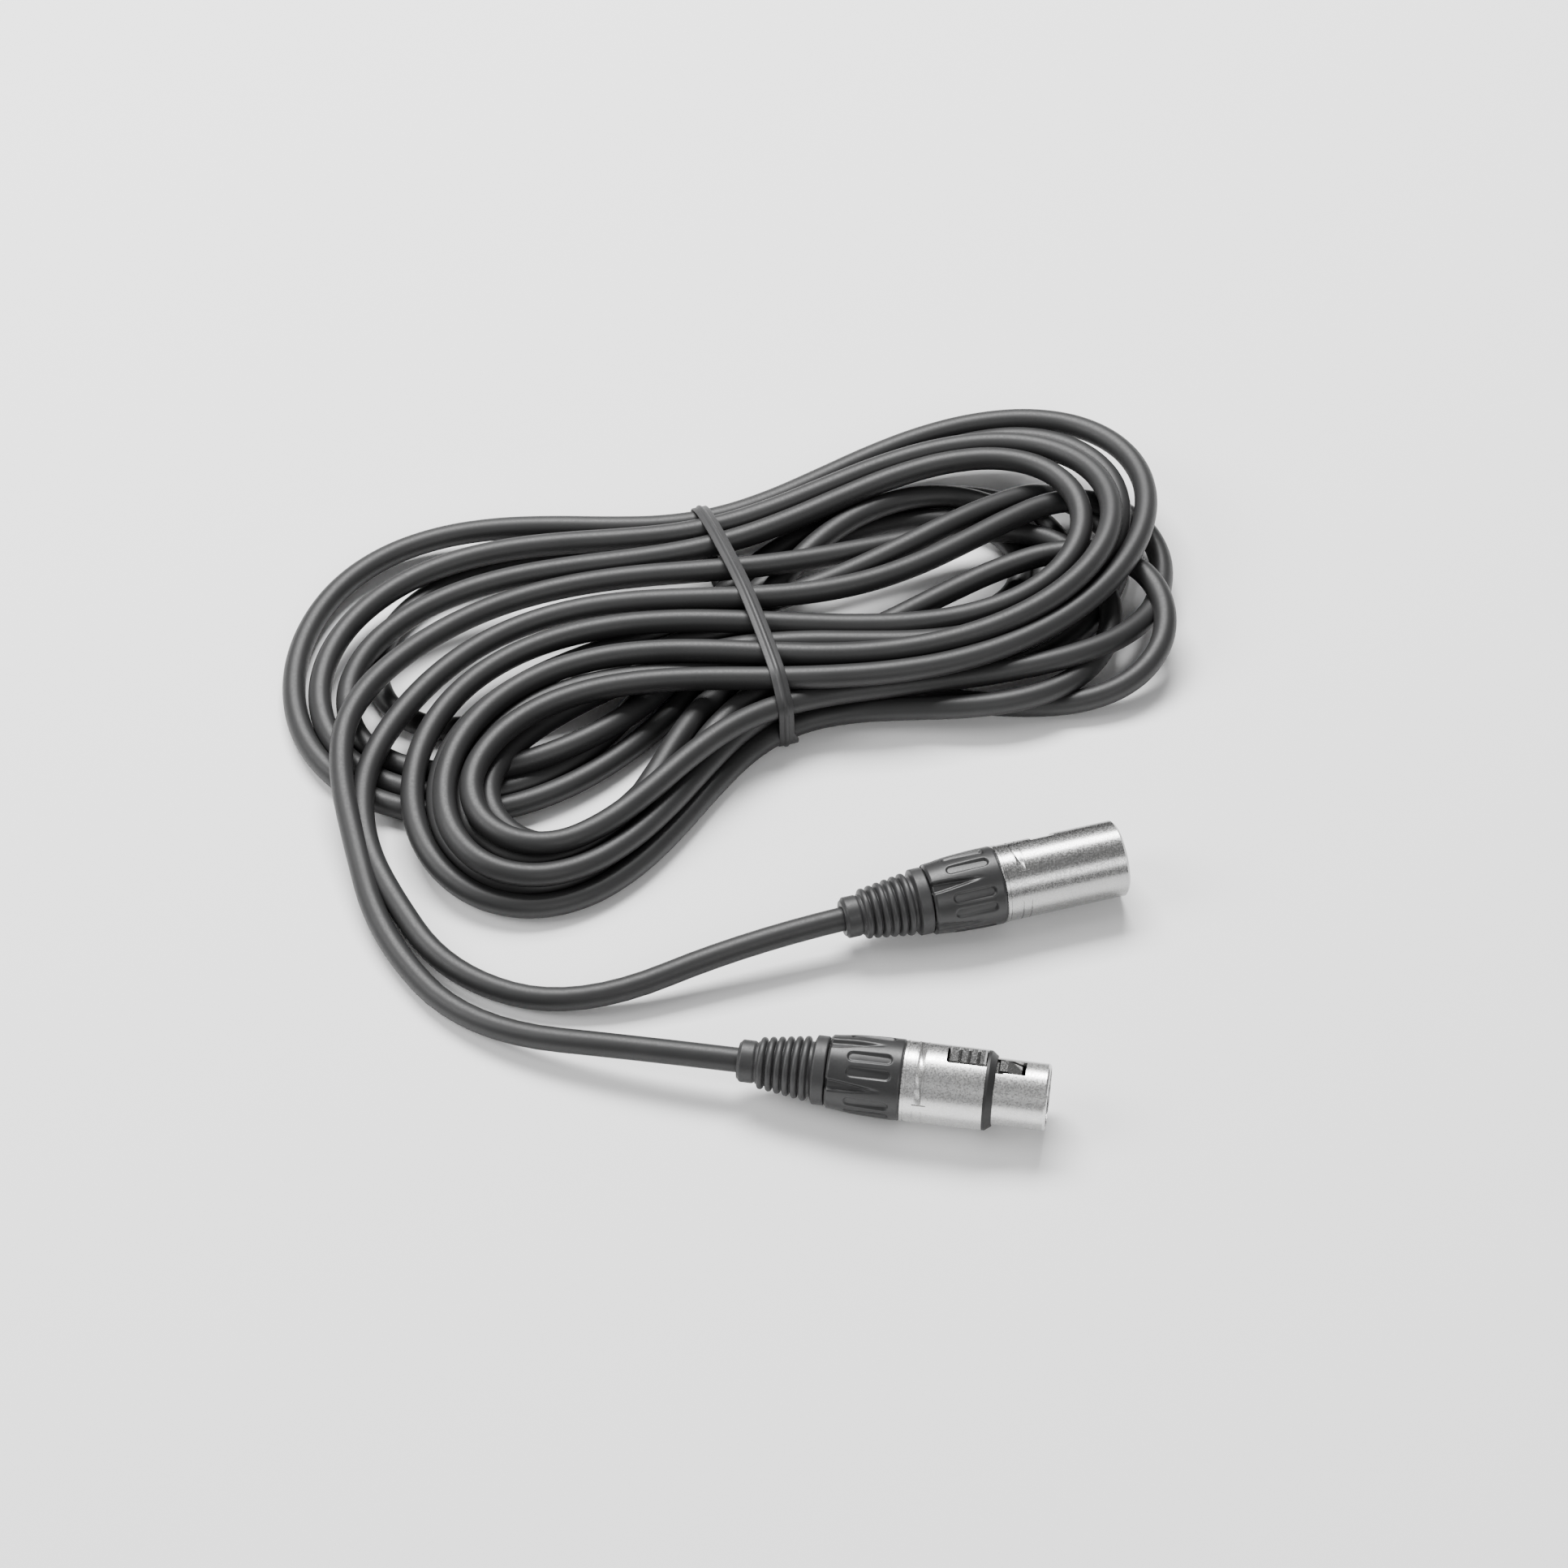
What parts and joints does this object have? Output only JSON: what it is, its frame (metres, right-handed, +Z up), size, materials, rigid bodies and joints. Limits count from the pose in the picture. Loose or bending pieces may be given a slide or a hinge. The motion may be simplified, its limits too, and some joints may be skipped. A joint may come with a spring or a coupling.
{
  "type": "xlr cable coil",
  "caption": "Microphone cable wound in a flat tied hank, its two ends leading to a male and a female XLR line connector that lie beside it.",
  "frame": {"origin": "centre of the object's bounding box in plan, on the floor it lies on", "axes": "X along the hank, the connectors' mouths towards +X; Y from the connectors towards the back of the hank; Z up"},
  "size_m": [0.2266, 0.2254, 0.029],
  "materials": {
    "boot_rubber": "matte",
    "bushing_plastic": "satin",
    "chuck_plastic": "matte",
    "shell_metal": "satin nickel",
    "insert_plastic": "matte",
    "pin_metal": "polished",
    "socket_metal": "polished",
    "ring_rubber": "matte",
    "latch_metal": "polished",
    "cable_sheath": "satin",
    "tie_plastic": "satin"
  },
  "bodies": {
    "cable": {"male_boot": "boot_rubber", "male_bushing": "bushing_plastic", "male_chuck": "chuck_plastic", "male_shell": "shell_metal", "male_insert": "insert_plastic", "male_pin_1": "pin_metal", "male_pin_2": "pin_metal", "male_pin_3": "pin_metal", "female_boot": "boot_rubber", "female_bushing": "bushing_plastic", "female_chuck": "chuck_plastic", "female_shell": "shell_metal", "female_ring": "ring_rubber", "female_insert": "insert_plastic", "female_socket_1": "socket_metal", "female_socket_2": "socket_metal", "female_socket_3": "socket_metal", "latch_pin": "latch_metal", "latch_spring": "latch_metal", "cable_hank": "cable_sheath", "male_tail": "cable_sheath", "female_tail": "cable_sheath", "tie_strip": "tie_plastic"},
    "latch": {"latch_lever": "latch_metal"}
  },
  "joints": [
    {"name": "latch_press", "type": "hinge", "parent": "cable", "child": "latch", "pos_m": [0.05181, -0.10101, 0.01521], "axis": [0.1474, 0.9632, -0.225], "range_deg": [0, 4], "stiffness_Nm_per_rad": 0.4, "springref_deg": -2.86, "deforming": ["latch_spring"]}
  ]
}
